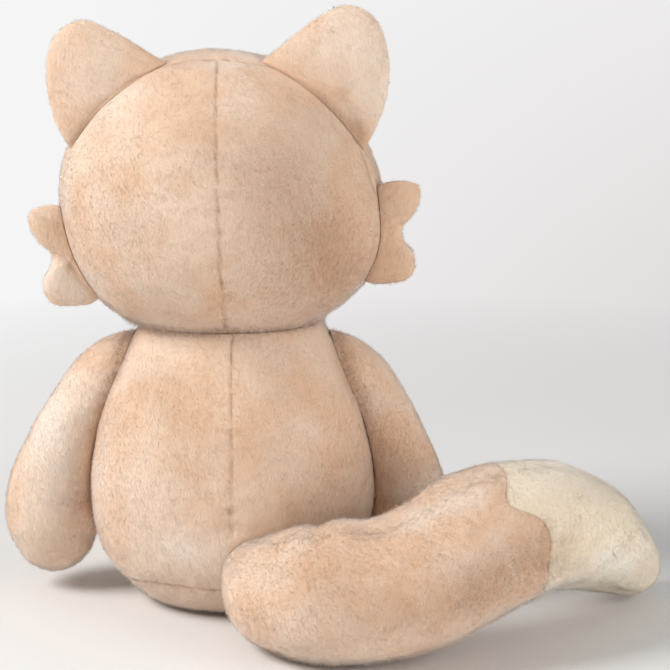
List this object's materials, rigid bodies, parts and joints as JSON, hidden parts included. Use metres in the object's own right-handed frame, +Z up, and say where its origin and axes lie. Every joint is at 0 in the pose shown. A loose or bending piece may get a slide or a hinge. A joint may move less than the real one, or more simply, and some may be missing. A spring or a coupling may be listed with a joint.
{
  "type": "plush fox",
  "caption": "Sitting plush fox of short-pile cloth with sewn head, ears, cheek tufts, arms, legs and a long curved tail with a pale tip.",
  "frame": {"origin": "middle of the flat that the torso sits on, at the base panel's outer face", "axes": "+Z up, the fox faces -Y, +X towards the fox's left arm"},
  "size_m": [0.3294, 0.2874, 0.294],
  "materials": {
    "fur": "matte",
    "cream_fur": "matte",
    "stuffing": "matte",
    "bag_cloth": "matte",
    "eye_plastic": "gloss",
    "washer_plastic": "satin"
  },
  "bodies": {
    "torso": {"torso_back_left": "fur", "torso_back_right": "fur", "torso_front": "fur", "torso_base_panel": "fur", "torso_stuffing": "stuffing", "pellet_bag": "bag_cloth"},
    "head": {"head_back_left": "fur", "head_back_right": "fur", "head_front": "fur", "head_stuffing": "stuffing", "left_ear_back": "fur", "left_ear_inner": "cream_fur", "left_ear_wadding": "stuffing", "right_ear_back": "fur", "right_ear_inner": "cream_fur", "right_ear_wadding": "stuffing", "left_cheek_tuft": "fur", "right_cheek_tuft": "fur", "muzzle": "cream_fur", "muzzle_stuffing": "stuffing", "nose": "eye_plastic", "nose_washer": "washer_plastic", "left_eye": "eye_plastic", "left_eye_washer": "washer_plastic", "right_eye": "eye_plastic", "right_eye_washer": "washer_plastic"},
    "left_arm": {"left_arm": "fur", "left_arm_stuffing": "stuffing"},
    "right_arm": {"right_arm": "fur", "right_arm_stuffing": "stuffing"},
    "left_leg": {"left_leg": "fur", "left_foot_sole": "cream_fur", "left_leg_stuffing": "stuffing"},
    "right_leg": {"right_leg": "fur", "right_foot_sole": "cream_fur", "right_leg_stuffing": "stuffing"},
    "tail": {"tail": "fur", "tail_tip": "cream_fur", "tail_stuffing": "stuffing"}
  },
  "joints": [
    {"name": "head_turn", "type": "hinge", "parent": "torso", "child": "head", "pos_m": [0, 0, 0.141], "axis": [0, 0, 1], "range_deg": [-20, 20]},
    {"name": "left_arm_swing", "type": "hinge", "parent": "torso", "child": "left_arm", "pos_m": [0.04936, 0, 0.132], "axis": [-1, 0, 0], "range_deg": [-10, 60]},
    {"name": "right_arm_swing", "type": "hinge", "parent": "torso", "child": "right_arm", "pos_m": [-0.04936, 0, 0.132], "axis": [-1, 0, 0], "range_deg": [-10, 60]},
    {"name": "left_leg_lift", "type": "hinge", "parent": "torso", "child": "left_leg", "pos_m": [0.031, -0.06515, 0.043], "axis": [-1, 0, 0], "range_deg": [0, 60]},
    {"name": "right_leg_lift", "type": "hinge", "parent": "torso", "child": "right_leg", "pos_m": [-0.031, -0.06515, 0.043], "axis": [-1, 0, 0], "range_deg": [0, 60]},
    {"name": "tail_swing", "type": "hinge", "parent": "torso", "child": "tail", "pos_m": [0.004, 0.06228, 0.03], "axis": [0, 0, -1], "range_deg": [0, 50]}
  ]
}
